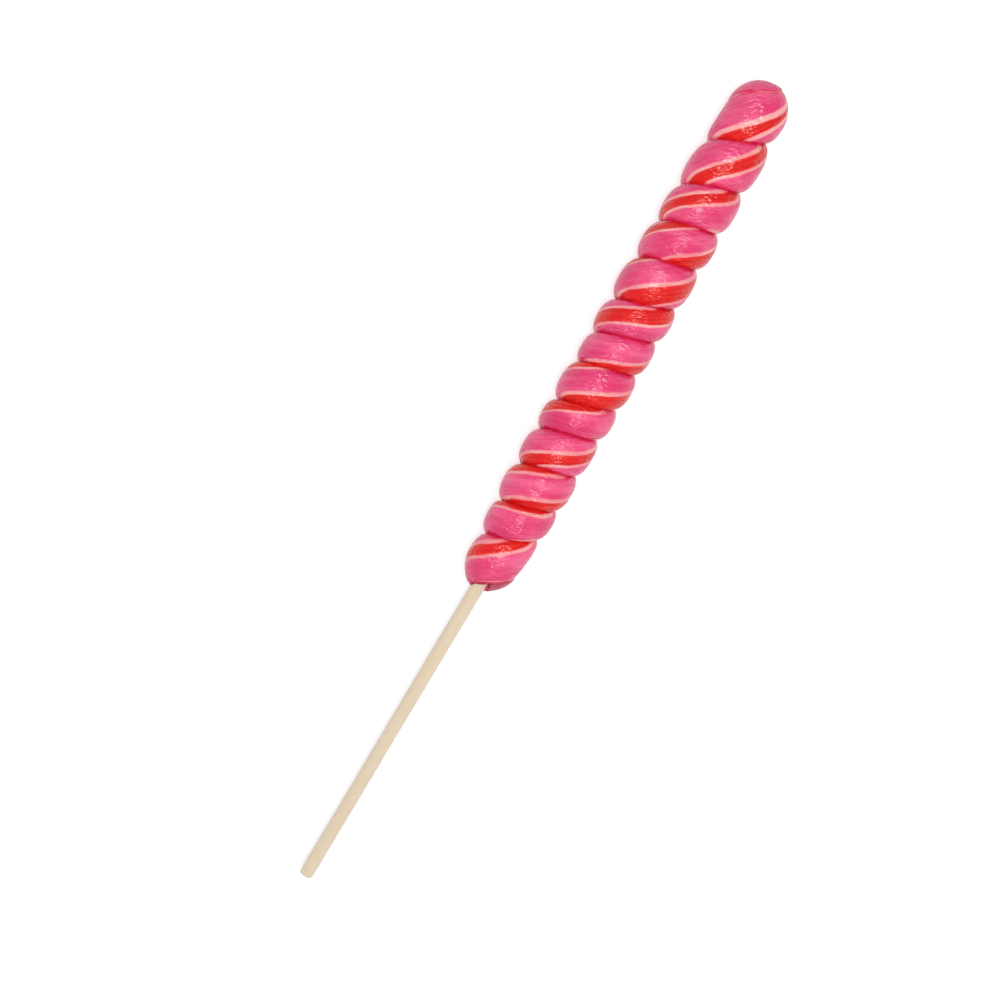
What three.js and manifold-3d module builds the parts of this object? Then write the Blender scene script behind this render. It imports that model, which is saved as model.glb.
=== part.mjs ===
// Twisted rope lollipop: one rope of boiled sugar wound round and round into a thick
// stick of candy, with a round wooden stick pushed into one end.
//
// Millimetres, +Z up. The lollipop lies along X, with its stick towards -X, on small
// flat spots under its widest turns. The origin is under its middle, at the surface
// it lies on.

import * as THREE from "three";
import { mergeVertices } from "three/addons/utils/BufferGeometryUtils.js";
import Module from "manifold-3d";

// ---------------------------------------------------------------- driving dimensions

const TOTAL_LENGTH = 294.7; // stick end to candy tip
const CANDY_LENGTH = 184.4;
const CANDY_RADIUS = 11.15; // over the crests of the turns
const END_ROUND = 10; // length of the rounded part at each end of the candy
const FLAT_DEPTH = 0.4; // how deep the resting flats are cut

// The candy is slimmer towards both ends: the share of the radius that is lost at the
// very end, and the distance over which that fades.
const STICK_END_SLIMMING = 0.33;
const TIP_SLIMMING = 0.18;
const SLIMMING_FADE = 16;

// Where the crease between two turns first shows on each flank, from the stick end, the
// width of every turn after it along that flank, and how far each turn's crest stands out
// there beyond the usual one. The left flank is the +Y side.
const LEFT_FLANK = {
  first: 17.6,
  widths: [11.6, 13.3, 12.8, 10.8, 13.7, 10.3, 12.4, 15.0, 12.8, 12.9, 15.9, 13.9],
  swells: [-0.2, -0.4, 0.2, 0.1, -0.1, 0.1, -0.5, 0.1, 0.3, 0.1, -0.1, -0.1, -0.5, -0.2],
};
const RIGHT_FLANK = {
  first: 10.0,
  widths: [14.1, 10.9, 12.8, 13.6, 11.1, 12.4, 12.2, 12.1, 13.9, 12.7, 14.5, 17.1],
  swells: [-0.5, -0.2, -0.1, -0.3, -0.1, -0.1, -0.2, -0.1, -0.1, -0.1, -0.2, -0.2, -0.5, 0],
};

// How far towards the tip the crease of each turn is pushed where it crosses the top.
const TOP_SHIFTS = [-1.1, 0, 0.6, 0.2, 0, 0, 0.2, -0.4, 0, 0.4, 0.7, -0.1];

// Cross-section of a turn: a fat rounded bar, a superellipse.
const ROPE_WIDTH = 12.7; // of a usual turn
const ROPE_DEPTH = 4.1; // half the height of a usual turn
const ROPE_SPREAD = 0.4; // how much of its depth a narrow turn loses, and a wide one gains
const ROPE_SQUARENESS = 2.4; // 2 is an ellipse, more is squarer
const ROPE_OVERLAP = 1.01; // how far neighbouring turns are pressed into each other

// The crease is pressed nearly shut where the rope's ends are tucked in: it opens over
// these turns, and closes over those.
const OPENING_TURNS = [-0.7, 0.1];
const CLOSING_TURNS = [11.4, 12.05];
const SHUT_CREASE = 0.12;

// The stick end leans back on the upper side.
const END_LEAN = 0.2;
const END_LEAN_FADE = 8;

// The candy isn't straight: how far it bends sideways at each end, and how soon each
// bend fades along it.
const STICK_END_BENDS = [{ side: 2.0, fade: 6 }, { side: -0.9, fade: 30 }];
const TIP_BENDS = [{ side: -0.8, fade: 1.5 }, { side: -0.45, fade: 30 }];

const STICK_RADIUS = 2.25;
const STICK_EMBEDDED = 60;
const STICK_EDGE = 0.4; // softened edge of the sawn ends
const STICK_SHIFT = 0.13; // off the candy's axis where it leaves the candy
const STICK_LEAN = 0.0085; // sideways lean, mm per mm
const GAP = 0.3; // left between the candy and the stick

const STEPS_PER_TURN = 30;
const ACROSS = [0, 0.03, 0.12, 0.28, 0.5, 0.72, 0.88, 0.97, 1]; // places across the rope
const STICK_SIDES = 32;

const COLOURS = { candy: 0xec5486, stick: 0xe2d1b8 };

// ---------------------------------------------------------------- derived places

const AXIS_HEIGHT = CANDY_RADIUS - FLAT_DEPTH;
const CANDY_START = TOTAL_LENGTH / 2 - CANDY_LENGTH;
const FULL_TURN = 2 * Math.PI;
const QUARTER = Math.PI / 2;

// Distance along the candy's outer surface, from the middle of its stick end over the
// rounded end, along the body and over the other rounded end.
const SURFACE_LENGTH = CANDY_LENGTH + 2 * END_ROUND * (QUARTER - 1);

function surfaceDistance(along) {
  const over = Math.min(along / END_ROUND, 1);
  return END_ROUND * Math.acos(1 - over) + Math.max(along - END_ROUND, 0);
}

// The crease is one line that runs round the candy once for each turn. It starts in the
// middle of one end at turn -1, and ends in the middle of the other at the last turn.
const FIRST_TURN = -1;
const creaseStations = makeCreaseStations();
const swellStations = [0, 0, ...LEFT_FLANK.swells.flatMap((left, turn) => [left, RIGHT_FLANK.swells[turn]])];
const LAST_TURN = FIRST_TURN + (creaseStations.length - 1) / 2;

function makeCreaseStations() {
  const stations = [0];
  let left = LEFT_FLANK.first;
  let right = RIGHT_FLANK.first;
  LEFT_FLANK.widths.forEach((leftWidth, turn) => {
    stations.push(surfaceDistance(right), surfaceDistance(left));
    left += leftWidth;
    right += RIGHT_FLANK.widths[turn];
  });
  stations.push(surfaceDistance(right), surfaceDistance(left), SURFACE_LENGTH);
  return stations;
}

// The value at any turn, smooth through stations that lie half a turn apart.
function smoothThrough(stations, turn) {
  const last = stations.length - 1;
  const place = THREE.MathUtils.clamp((turn - FIRST_TURN) * 2, 0, last);
  const index = Math.min(Math.floor(place), last - 1);
  const station = (i) => stations[THREE.MathUtils.clamp(i, 0, last)];
  const t = place - index;
  const slopeIn = (station(index + 1) - station(index - 1)) / 2;
  const slopeOut = (station(index + 2) - station(index)) / 2;
  return (
    station(index) * (1 + 2 * t) * (1 - t) ** 2 +
    station(index + 1) * (3 - 2 * t) * t ** 2 +
    slopeIn * t * (1 - t) ** 2 -
    slopeOut * (1 - t) * t ** 2
  );
}

// The crease's distance along the surface at any turn.
function creaseAt(turn) {
  const shift = TOP_SHIFTS[Math.floor(turn)] ?? 0;
  return smoothThrough(creaseStations, turn) + shift * Math.max(Math.sin(FULL_TURN * turn), 0) ** 2;
}

function turnWidth(turn) {
  return creaseAt(turn) - creaseAt(turn - 1);
}

// Half the height of the rope where it meets the crease at a turn.
function creaseDepth(turn) {
  const opened = THREE.MathUtils.smoothstep(turn, ...OPENING_TURNS);
  const closed = THREE.MathUtils.smoothstep(turn, ...CLOSING_TURNS);
  const open = THREE.MathUtils.lerp(SHUT_CREASE, 1, opened * (1 - closed));
  const width = (turnWidth(turn) + turnWidth(turn + 1)) / 2;
  return open * ROPE_DEPTH * (width / ROPE_WIDTH) ** ROPE_SPREAD;
}

// How far the rope's surface drops below its crest, from 0 in its middle to its edges.
function ropeDrop(across) {
  const out = Math.abs(2 * across - 1) / ROPE_OVERLAP;
  return 1 - (1 - out ** ROPE_SQUARENESS) ** (1 / ROPE_SQUARENESS);
}

// The point of the candy's surface at a turn, and a place across the rope from 0 to 1.
function candyPoint(turn, across) {
  const distance = THREE.MathUtils.lerp(creaseAt(turn - 1), creaseAt(turn), across);
  const depth = THREE.MathUtils.lerp(creaseDepth(turn - 1), creaseDepth(turn), across);
  const swell = smoothThrough(swellStations, turn) * (1 - (2 * across - 1) ** 2);
  const drop = depth * ropeDrop(across) - swell;

  const startAngle = Math.min(distance / END_ROUND, QUARTER);
  const tipAngle = Math.min((SURFACE_LENGTH - distance) / END_ROUND, QUARTER);
  const body = THREE.MathUtils.clamp(distance - QUARTER * END_ROUND, 0, CANDY_LENGTH - 2 * END_ROUND);
  const crestAlong = END_ROUND * (1 - Math.cos(startAngle) + Math.cos(tipAngle)) + body;
  const slimming =
    STICK_END_SLIMMING * Math.exp(-crestAlong / SLIMMING_FADE) +
    TIP_SLIMMING * Math.exp((crestAlong - CANDY_LENGTH) / SLIMMING_FADE);
  const roundness = Math.sin(startAngle) * Math.sin(tipAngle);

  const along = crestAlong - drop * (Math.cos(tipAngle) - Math.cos(startAngle));
  const radius = roundness * (CANDY_RADIUS * (1 - slimming) - drop);
  const side = radius * Math.cos(FULL_TURN * turn) + sidewaysBend(along);
  const up = radius * Math.sin(FULL_TURN * turn);
  const leanBack = END_LEAN * up * Math.exp(-along / END_LEAN_FADE);
  return new THREE.Vector3(CANDY_START + along + leanBack, side, AXIS_HEIGHT + up);
}

function sidewaysBend(along) {
  let side = 0;
  for (const bend of STICK_END_BENDS) side += bend.side * Math.exp(-along / bend.fade);
  for (const bend of TIP_BENDS) side += bend.side * Math.exp((along - CANDY_LENGTH) / bend.fade);
  return side;
}

// ---------------------------------------------------------------- candy

// The rope's outer surface as a strip, whose upper edge at one turn is its lower edge a
// turn later. It grows from nothing in the middle of the stick end, and shrinks to
// nothing in the middle of the tip.
function makeRope() {
  const rows = Math.round((LAST_TURN + 1 - FIRST_TURN) * STEPS_PER_TURN);
  const top = ACROSS.length - 1;
  const positions = [];
  const addPoint = (turn, across) => positions.push(...candyPoint(turn, across)) / 3 - 1;
  const startPole = addPoint(FIRST_TURN, 0);
  const tipPole = addPoint(LAST_TURN + 1, 1);

  const grid = [];
  for (let row = 0; row <= rows; row += 1) {
    const turn = FIRST_TURN + row / STEPS_PER_TURN;
    const lowerEdge = row < STEPS_PER_TURN ? startPole : grid[row - STEPS_PER_TURN][top];
    if (row === 0 || row === rows) {
      grid.push(ACROSS.map(() => (row === 0 ? startPole : tipPole)));
      continue;
    }
    const line = ACROSS.slice(1, top).map((across) => addPoint(turn, across));
    const upperEdge = row < rows - STEPS_PER_TURN ? addPoint(turn, 1) : tipPole;
    grid.push([lowerEdge, ...line, upperEdge]);
  }

  const faces = [];
  const addFace = (a, b, c) => {
    if (a !== b && b !== c && c !== a) faces.push(a, b, c);
  };
  for (let row = 0; row < rows; row += 1) {
    for (let step = 0; step < top; step += 1) {
      const [a, b] = [grid[row][step], grid[row + 1][step]];
      const [c, d] = [grid[row + 1][step + 1], grid[row][step + 1]];
      addFace(a, b, c);
      addFace(a, c, d);
    }
  }

  const geometry = new THREE.BufferGeometry();
  geometry.setAttribute("position", new THREE.Float32BufferAttribute(positions, 3));
  geometry.setIndex(faces);
  return geometry;
}

// ---------------------------------------------------------------- stick

// A round bar along the stick's own axis, from its free end to a given depth in the candy.
function makeRod(radius, edge, freeEnd, depth) {
  const length = depth - freeEnd;
  const outline = [
    new THREE.Vector2(0, 0),
    new THREE.Vector2(radius - edge, 0),
    new THREE.Vector2(radius - edge * (1 - Math.SQRT1_2), edge * (1 - Math.SQRT1_2)),
    new THREE.Vector2(radius, edge),
    new THREE.Vector2(radius, length - edge),
    new THREE.Vector2(radius - edge, length),
    new THREE.Vector2(0, length),
  ];
  const rod = new THREE.LatheGeometry(outline, STICK_SIDES);
  rod.rotateZ(-QUARTER);
  rod.translate(freeEnd, 0, 0);
  rod.rotateZ(-Math.atan(STICK_LEAN));
  rod.translate(CANDY_START, STICK_SHIFT, AXIS_HEIGHT);
  return rod;
}

// ---------------------------------------------------------------- joining and cutting

const manifold = await Module();
manifold.setup();

function toSolid(geometry) {
  const bare = geometry.clone();
  bare.deleteAttribute("normal");
  bare.deleteAttribute("uv");
  const merged = mergeVertices(bare, 1e-4);
  return new manifold.Manifold(
    new manifold.Mesh({
      numProp: 3,
      vertProperties: new Float32Array(merged.attributes.position.array),
      triVerts: new Uint32Array(merged.index.array),
    }),
  );
}

function toGeometry(solid) {
  const mesh = solid.getMesh();
  const geometry = new THREE.BufferGeometry();
  geometry.setAttribute("position", new THREE.Float32BufferAttribute(mesh.vertProperties, 3));
  geometry.setIndex(new THREE.Uint32BufferAttribute(mesh.triVerts, 1));
  geometry.computeVertexNormals();
  return geometry;
}

function makeCandy() {
  const bore = makeRod(STICK_RADIUS + GAP, 0, -END_ROUND, STICK_EMBEDDED + GAP);
  const floor = new THREE.BoxGeometry(2 * CANDY_LENGTH, 4 * CANDY_RADIUS, CANDY_RADIUS);
  floor.translate(0, 0, -CANDY_RADIUS / 2);
  return toGeometry(toSolid(makeRope()).subtract(toSolid(bore)).subtract(toSolid(floor)));
}

function makePiece(name, geometry, roughness) {
  const material = new THREE.MeshStandardMaterial({ color: COLOURS[name], roughness, metalness: 0 });
  const piece = new THREE.Mesh(geometry, material);
  piece.name = name;
  return piece;
}

function makeStick() {
  return makeRod(STICK_RADIUS, STICK_EDGE, CANDY_LENGTH - TOTAL_LENGTH, STICK_EMBEDDED);
}

const lollipop = new THREE.Group();
lollipop.add(makePiece("candy", makeCandy(), 0.3));
lollipop.add(makePiece("stick", makeStick(), 0.7));

export default lollipop;
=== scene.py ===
# %% [markdown]
# # A twisted rope lollipop
# A rope of boiled sugar, pink with two pale-edged red stripes, is twisted about its own
# length while it is warm. It is then wound round a wooden stick, each turn pressed
# against the last. Everything seen on the real sweet follows from those two moves: the
# fat turns with deep creases between them, and the stripes that climb across each turn.
#
# ## The frame
# The frame holds the plain solids, at their true size and place. It is loaded first, and
# the finished surfaces are then built in the same places. Sizes are kept in millimetres
# and turned into metres only where a point is placed.

import math

import bpy
from mathutils import Matrix, Vector


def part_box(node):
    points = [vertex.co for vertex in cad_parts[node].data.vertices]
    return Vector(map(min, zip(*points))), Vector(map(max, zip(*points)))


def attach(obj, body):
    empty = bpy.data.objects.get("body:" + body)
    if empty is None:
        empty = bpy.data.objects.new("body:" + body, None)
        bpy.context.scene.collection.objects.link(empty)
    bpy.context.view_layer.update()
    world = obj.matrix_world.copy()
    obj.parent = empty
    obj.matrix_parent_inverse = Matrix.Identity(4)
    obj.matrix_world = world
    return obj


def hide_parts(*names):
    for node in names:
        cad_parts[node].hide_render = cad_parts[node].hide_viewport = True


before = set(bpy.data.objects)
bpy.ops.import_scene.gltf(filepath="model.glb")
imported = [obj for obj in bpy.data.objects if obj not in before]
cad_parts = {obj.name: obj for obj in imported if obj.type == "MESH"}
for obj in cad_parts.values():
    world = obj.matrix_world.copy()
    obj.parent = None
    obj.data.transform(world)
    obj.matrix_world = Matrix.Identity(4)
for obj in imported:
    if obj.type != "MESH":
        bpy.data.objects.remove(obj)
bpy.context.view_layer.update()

MM = 0.001
candy_low, candy_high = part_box("candy")
stick_low, stick_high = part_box("stick")
print("candy is", round((candy_high.x - candy_low.x) / MM, 1), "mm long")

# %% [markdown]
# ## Sizes of the candy
# The maker's sizes come first: how long and thick the candy is, how far its ends are
# rounded, and how wide each turn of rope lies along either flank. A given list is right
# for the widths, because hand-wound turns are never alike. A random width would be uneven
# too, but not in the same places. The swells say how far each crest stands out beyond the
# usual one on either flank, and the top shifts how far the crease is pushed towards the
# tip where it crosses the top.

# %% Sizes of the candy
CANDY_LENGTH = 184.4
CANDY_RADIUS = 11.15
END_ROUND = 10.0
AXIS_HEIGHT = (stick_low.z + stick_high.z) / 2 / MM
CANDY_START = candy_high.x / MM - CANDY_LENGTH

LEFT_FLANK = [17.6, 11.6, 13.3, 12.8, 10.8, 13.7, 10.3, 12.4, 15.0, 12.8, 12.9, 15.9, 13.9]
RIGHT_FLANK = [10.0, 14.1, 10.9, 12.8, 13.6, 11.1, 12.4, 12.2, 12.1, 13.9, 12.7, 14.5, 17.1]
TOP_SHIFTS = [-1.1, 0, 0.6, 0.2, 0, 0, 0.2, -0.4, 0, 0.4, 0.7, -0.1]
LEFT_SWELLS = [-0.2, -0.4, 0.2, 0.1, -0.1, 0.1, -0.5, 0.1, 0.3, 0.1, -0.1, -0.1, -0.5, -0.2]
RIGHT_SWELLS = [-0.5, -0.2, -0.1, -0.3, -0.1, -0.1, -0.2, -0.1, -0.1, -0.1, -0.2, -0.2, -0.5, 0]
FIRST_TURN = -1.0
LAST_TURN = FIRST_TURN + len(LEFT_FLANK) + 0.5
QUARTER = math.pi / 2
SURFACE_LENGTH = CANDY_LENGTH + 2 * END_ROUND * (QUARTER - 1)
print(len(LEFT_FLANK), "turns from", round(CANDY_START, 2), "mm, axis at", round(AXIS_HEIGHT, 2))

# %% [markdown]
# ## The rope's section and the two ends
# A turn is a fat rounded bar: a superellipse of a certain width and depth, squarer than an
# ellipse. A narrow turn is a little shallower. The crease is pressed nearly shut where the
# rope's two ends are tucked in, so it opens over the first turn and closes over the last.
# The candy is slimmer towards both ends, and bends a little sideways there: each bend is a
# reach and the distance over which it fades. The stick end leans back on its upper side,
# and has a ragged notch where the first turn leaves the stick's top bare.

# %% Sizes of the rope and the ends
ROPE_WIDTH = 12.7
ROPE_DEPTH = 4.1
ROPE_SPREAD = 0.4
ROPE_SQUARENESS = 2.4
ROPE_OVERLAP = 1.01
OPENING_TURNS = (-0.7, 0.1)
CLOSING_TURNS = (11.4, 12.05)
SHUT_CREASE = 0.12

STICK_END_SLIMMING = 0.33
TIP_SLIMMING = 0.18
SLIMMING_FADE = 16.0
STICK_END_BENDS = [(2.0, 6.0), (-0.9, 30.0)]
TIP_BENDS = [(-0.8, 1.5), (-0.45, 30.0)]
TIP_FULLNESS = 0.8

END_LEAN = 0.2
END_LEAN_FADE = 8.0
NOTCH_TOP = 4.8
NOTCH_SLANT = 0.45
NOTCH_DEPTH = 2.2
NOTCH_SKEW = 0.8
NOTCH_HALF_WIDTH = 2.4
NOTCH_RIM = 0.8
NOTCH_SOFTNESS = 1.5
UPPER_SIDE = (-1, 1)
NOTCH_FADE = (4, 8)
RAGGED_END = 0.5
RAGGED_FADE = (0.5, 4)
LUMPS_PER_MM = 0.9
LUMP_SEED = 5.0
print("a usual crease is", ROPE_DEPTH, "mm deep on a candy", 2 * CANDY_RADIUS, "mm thick")

# %% [markdown]
# ## The stripes
# A stripe is a straight band of colour down the rope. Twisting makes it climb across the
# rope's width as the rope goes round. The climb is counted in rope widths from the start
# of the rope, and noted twice in every turn where it faces up, together with the stripe's
# width. Two stripes lie on opposite sides of the rope. The distance between them is a rope
# width and a quarter, because part of the rope's surface is always hidden in the crease,
# pressed against the next turn. The pattern repeats after that distance. The few notes at
# the start and the tip, and one where the stripe climbs fast, are a turn, a climb and a
# width each.

# %% Climb of the stripes
STRIPE_SPACING = 1.25
LEFT_SHARE = 0.1
RIGHT_SHARE = 0.4
LEFT_CLIMBS = [0.77, 2.3, 3.77, 5.2, 7.23, 8.79, 9.97, 11.85, 13.82, 15.85, 19.22, 21.3]
RIGHT_CLIMBS = [1.18, 2.57, 4.12, 5.7, 7.45, 9.26, 10.37, 12.35, 14.5, 16.76, 19.84, 22.2]
LEFT_STRIPES = [0.2, 0.24, 0.54, 0.33, 0.44, 0.51, 0.12, 0.39, 0.49, 0.27, 0.3, 0.3]
RIGHT_STRIPES = [0.22, 0.35, 0.52, 0.25, 0.14, 0.47, 0.4, 0.45, 0.44, 0.48, 0.22, 0.3]
STRIPE_START = [(-1.0, 0.2, 0.02), (-0.2, 0.52, 0.02)]
STRIPE_FAST = [(9.2, 16.2, 0.36)]
STRIPE_TIP = [
    (12.0, 23.6, 0.1),
    (12.2, 23.92, 0.28),
    (12.4, 24.32, 0.17),
    (12.6, 24.75, 0.02),
    (14.0, 27, 0.02),
]


def stripe_notes():
    """Turn, climb of the stripe's upper edge and width of the stripe, from start to tip."""
    notes = STRIPE_START + STRIPE_FAST + STRIPE_TIP
    for turn, (climb, width) in enumerate(zip(LEFT_CLIMBS, LEFT_STRIPES)):
        notes.append((turn + LEFT_SHARE, climb, width))
    for turn, (climb, width) in enumerate(zip(RIGHT_CLIMBS, RIGHT_STRIPES)):
        notes.append((turn + RIGHT_SHARE, climb, width))
    return sorted(notes)


print("the stripes climb", stripe_notes()[-1][1], "rope widths in all")

# %% [markdown]
# ## The rope's plan
# One small mesh carries all of that: a chain of points, eight for each turn. A point's X
# is how far along the candy's surface the crease has come, Y is how far the stripe's
# upper edge has climbed, and Z is the stripe's width. A fourth number, how far the crest
# swells, is kept beside them as an attribute. The chain isn't a shape to look at. The
# node tree grows the rope out of it. Between two notes a value follows a smooth curve that
# leaves each note at the slope of its neighbours, so that no kink shows in a crease.

# %% A smooth curve through notes
def smooth_through(notes, turn):
    """The height of a smooth curve at a turn. Each note is a turn and a height."""
    turn = min(max(turn, notes[0][0]), notes[-1][0])
    index = next(i for i in range(len(notes) - 1) if turn <= notes[i + 1][0])
    runs = [later[0] - note[0] for note, later in zip(notes, notes[1:])]
    rises = [(later[1] - note[1]) / run for note, later, run in zip(notes, notes[1:], runs)]

    def slope(i):
        if i == 0 or i == len(runs):
            return rises[max(i - 1, 0)]
        return (rises[i - 1] * runs[i] + rises[i] * runs[i - 1]) / (runs[i - 1] + runs[i])

    run = runs[index]
    t = (turn - notes[index][0]) / run
    height = notes[index][1] * (1 + 2 * t) * (1 - t) ** 2 + notes[index + 1][1] * (3 - 2 * t) * t**2
    return height + run * t * (1 - t) * (slope(index) * (1 - t) - slope(index + 1) * t)


halfway = smooth_through([(0, 0), (1, 1), (2, 4)], 0.5)
print("halfway from 0 to 1, on the way to 4, the curve is at", halfway)

# %% [markdown]
# ## Making the plan
# The creases are noted every half turn, on the right flank and then on the left, as
# distances along the candy's surface and over its rounded end. All the notes are read off
# at the plan's eight steps a turn.

# %% The plan
PLAN_STEPS = 8
THINNEST_STRIPE = 0.01


def surface_distance(along):
    """Distance over the rounded end and along the body to a place along the axis."""
    over = min(along / END_ROUND, 1)
    return END_ROUND * math.acos(1 - over) + max(along - END_ROUND, 0)


def half_turn_notes(values):
    """Notes for values half a turn apart. The first and last values carry on beyond."""
    padded = [values[0], *values, *[values[-1]] * 3]
    return [(FIRST_TURN + (i - 1) / 2, value) for i, value in enumerate(padded)]


def make_plan():
    """The chain of points, as an object that becomes the rope."""
    left, right, stations = 0.0, 0.0, [0.0]
    for left_width, right_width in zip(LEFT_FLANK, RIGHT_FLANK):
        left += left_width
        right += right_width
        stations += [surface_distance(right), surface_distance(left)]
    creases = half_turn_notes([*stations, SURFACE_LENGTH])
    flank_swells = [swell for pair in zip(LEFT_SWELLS, RIGHT_SWELLS) for swell in pair]
    swells = half_turn_notes([0.0, 0.0, *flank_swells])
    climbs = [(turn, climb) for turn, climb, width in stripe_notes()]
    widths = [(turn, width) for turn, climb, width in stripe_notes()]

    points, crest_swells = [], []
    shifts = dict(enumerate(TOP_SHIFTS))
    for step in range(round((LAST_TURN + 1 - FIRST_TURN) * PLAN_STEPS) + 1):
        turn = FIRST_TURN + step / PLAN_STEPS
        on_top = max(math.sin(2 * math.pi * turn), 0) ** 2
        crease = smooth_through(creases, turn) + shifts.get(math.floor(turn), 0) * on_top
        width = max(smooth_through(widths, turn), THINNEST_STRIPE)
        points.append((crease, smooth_through(climbs, turn), width))
        crest_swells.append(smooth_through(swells, turn))
    mesh = bpy.data.meshes.new("rope_plan")
    mesh.from_pydata(points, [(i, i + 1) for i in range(len(points) - 1)], [])
    mesh.attributes.new("swell", "FLOAT", "POINT").data.foreach_set("value", crest_swells)
    return bpy.data.objects.new("candy_rope", mesh)


rope = make_plan()
bpy.context.scene.collection.objects.link(rope)
print("the plan has", len(rope.data.vertices), "points")

# %% [markdown]
# ## Formulas as nodes
# Geometry Nodes can do any sum, but a long sum is hard to read as a chain of Math nodes.
# This helper wraps one socket, so that writing `a * b + c` in Python adds the Math nodes
# for it. The same helper serves the materials later, because shader trees use the same
# Math node. A trial on an empty tree shows what one formula adds.

# %% A helper for formulas
class Value:
    """A socket of a node tree that can be used in a formula."""

    def __init__(self, tree, socket):
        self.tree = tree
        self.socket = socket

    def math(self, operation, *others):
        node = self.tree.nodes.new("ShaderNodeMath")
        node.operation = operation
        for slot, value in zip(node.inputs, (self, *others)):
            plug(self.tree, value, slot)
        return Value(self.tree, node.outputs[0])

    def __add__(self, other):
        return self.math("ADD", other)

    def __sub__(self, other):
        return self.math("SUBTRACT", other)

    def __mul__(self, other):
        return self.math("MULTIPLY", other)

    def __truediv__(self, other):
        return self.math("DIVIDE", other)

    def __pow__(self, other):
        return self.math("POWER", other)

    def __rsub__(self, other):
        return (self * -1) + other

    def __neg__(self):
        return self * -1

    __radd__ = __add__
    __rmul__ = __mul__


def plug(tree, value, slot):
    if isinstance(value, Value):
        tree.links.new(value.socket, slot)
    else:
        slot.default_value = value


trial = bpy.data.node_groups.new("trial", "GeometryNodeTree")
number = Value(trial, trial.nodes.new("ShaderNodeValue").outputs[0])
formula = number * number + 1
print("a * a + 1 adds", len(trial.nodes) - 1, "nodes, and the last is", formula.socket.node.operation)
bpy.data.node_groups.remove(trial)

# %% [markdown]
# ## Steps and curves in a formula
# The formulas below need a few more sums. Smooth step is the one used most: it is 0
# below a low value, 1 above a high one, and passes between them without a corner, so
# that nothing on the sugar starts or ends abruptly.

# %% More helpers for formulas
def sin(value):
    return value.math("SINE")


def cos(value):
    return value.math("COSINE")


def exp(value):
    return value.math("EXPONENT")


def least(value, other):
    return value.math("MINIMUM", other)


def most(value, other):
    return value.math("MAXIMUM", other)


def between(value, low, high):
    return least(most(value, low), high)


def mix(low, high, share):
    return low + (high - low) * share


def smooth_step(value, low, high):
    share = between((value - low) / (high - low), 0, 1)
    return share * share * (3 - 2 * share)


print("halfway between 2 and 4 is", mix(2, 4, 0.5))

# %% [markdown]
# ## Nodes and noise
# Every other node is added by one short function that takes its settings and its inputs.
# Noise gives all that is uneven on the sweet. It is read at a point made from any three
# numbers, such as a turn and a place across the rope, so that it follows the rope round.

# %% Helpers for nodes
def add_node(tree, kind, settings=None, **inputs):
    """Adds a node. Its inputs are given by their names, with _ for a space."""
    node = tree.nodes.new(kind)
    for name, setting in (settings or {}).items():
        setattr(node, name, setting)
    for name, value in inputs.items():
        plug(tree, value, node.inputs[name.replace("_", " ")])
    return node


def noise(tree, x, y, z, detail=2.0):
    """Noise between -1 and 1 at a point whose step of 1 is one lump of noise."""
    join = add_node(tree, "ShaderNodeCombineXYZ", X=x, Y=y, Z=z)
    settings = {"noise_dimensions": "3D"}
    node = add_node(tree, "ShaderNodeTexNoise", settings, Scale=1.0, Detail=detail)
    tree.links.new(join.outputs[0], node.inputs["Vector"])
    return Value(tree, node.outputs[0]) * 2 - 1


print("noise is kept between -1 and 1, with a step of 1 for each lump")

# %% [markdown]
# ## Reading the plan at any turn
# Between two points of the plan the rope has to pass smoothly, so a Catmull-Rom curve
# goes through four neighbouring points. A Float Curve node could draw the same line, but
# it is stored as a coarse table, and its steps would show in the gloss. This small node
# group takes a turn, and gives the crease, the stripe's climb and width, and the swell.

# %% Node group: plan at a turn
def vector_sum(tree, terms):
    """The sum of vector times number for each pair."""
    total = None
    for vector, share in terms:
        part = add_node(tree, "ShaderNodeVectorMath", {"operation": "SCALE"})
        tree.links.new(vector, part.inputs[0])
        plug(tree, share, part.inputs["Scale"])
        if total is None:
            total = part.outputs[0]
            continue
        join = add_node(tree, "ShaderNodeVectorMath", {"operation": "ADD"})
        tree.links.new(total, join.inputs[0])
        tree.links.new(part.outputs[0], join.inputs[1])
        total = join.outputs[0]
    return total


def new_tree(name, inputs, outputs):
    """An empty node tree. Each input and output is a name and a socket type."""
    tree = bpy.data.node_groups.new(name, "GeometryNodeTree")
    for title, kind in inputs:
        tree.interface.new_socket(title, in_out="INPUT", socket_type=kind)
    for title, kind in outputs:
        tree.interface.new_socket(title, in_out="OUTPUT", socket_type=kind)
    return tree, tree.nodes.new("NodeGroupInput"), tree.nodes.new("NodeGroupOutput")


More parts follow.
